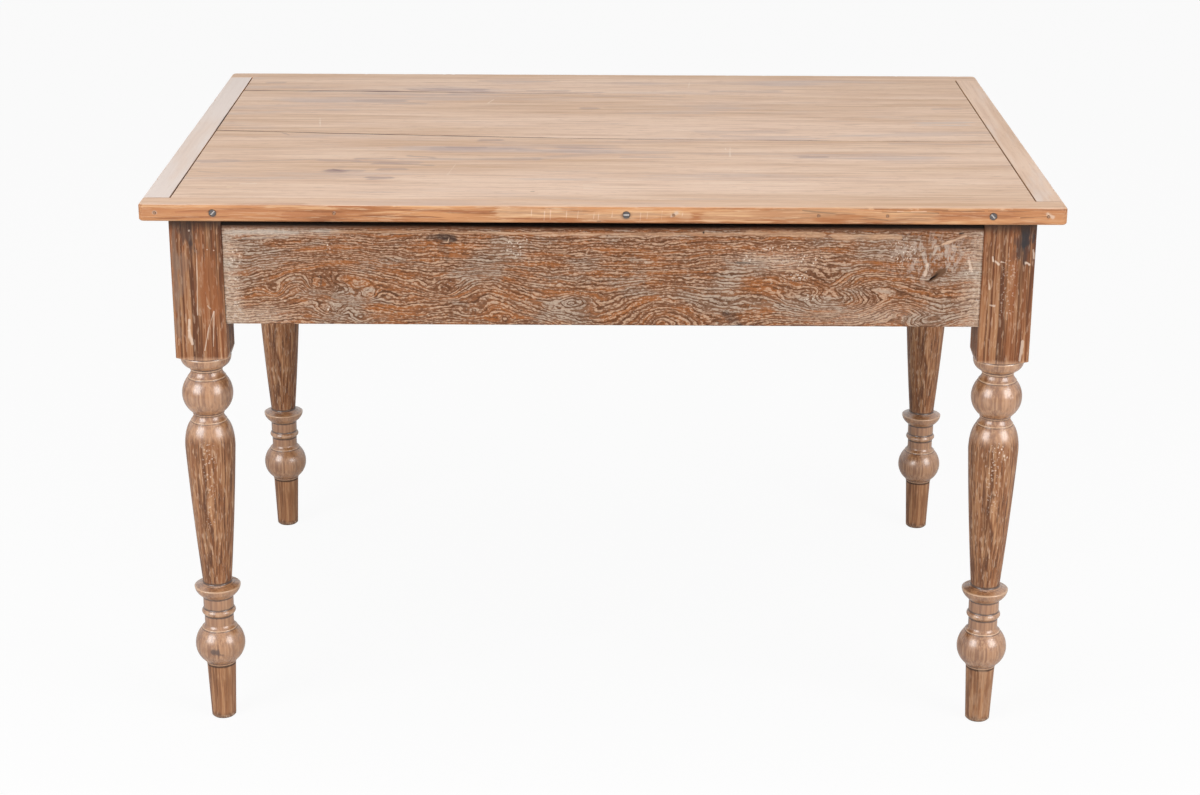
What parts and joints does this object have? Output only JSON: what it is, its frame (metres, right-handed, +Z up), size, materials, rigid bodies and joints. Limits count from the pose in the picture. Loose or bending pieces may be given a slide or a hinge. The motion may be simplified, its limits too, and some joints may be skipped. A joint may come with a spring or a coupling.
{
  "type": "kitchen table",
  "caption": "Farmhouse kitchen table with a boarded top framed by edge strips, plain aprons and turned legs with square blocks.",
  "frame": {"origin": "on the floor, under the middle of the table top", "axes": "+X along the length of the top, to the right of someone facing the front; -Y towards the front; +Z up"},
  "size_m": [1.22, 0.86, 0.77],
  "materials": {
    "wood_top": "pale scrubbed boards",
    "wood_edge": "warm worn edge",
    "wood_apron": "weathered raised grain",
    "wood_leg": "waxed, worn",
    "wood_inside": "plain planed wood",
    "steel": "dull"
  },
  "bodies": {
    "root": {"board_front": "wood_top", "board_middle": "wood_top", "board_rear": "wood_top", "edge_strip_front": "wood_edge", "edge_strip_rear": "wood_edge", "end_strip_left": "wood_edge", "end_strip_right": "wood_edge", "edge_screws_front": "steel", "edge_screws_rear": "steel", "edge_nails_front": "steel", "leg_front_left": "wood_leg", "leg_front_right": "wood_leg", "leg_rear_left": "wood_leg", "leg_rear_right": "wood_leg", "apron_front": "wood_apron", "apron_rear": "wood_apron", "apron_left": "wood_apron", "apron_right": "wood_apron", "top_buttons": "wood_inside", "button_screws": "steel"}
  },
  "joints": []
}
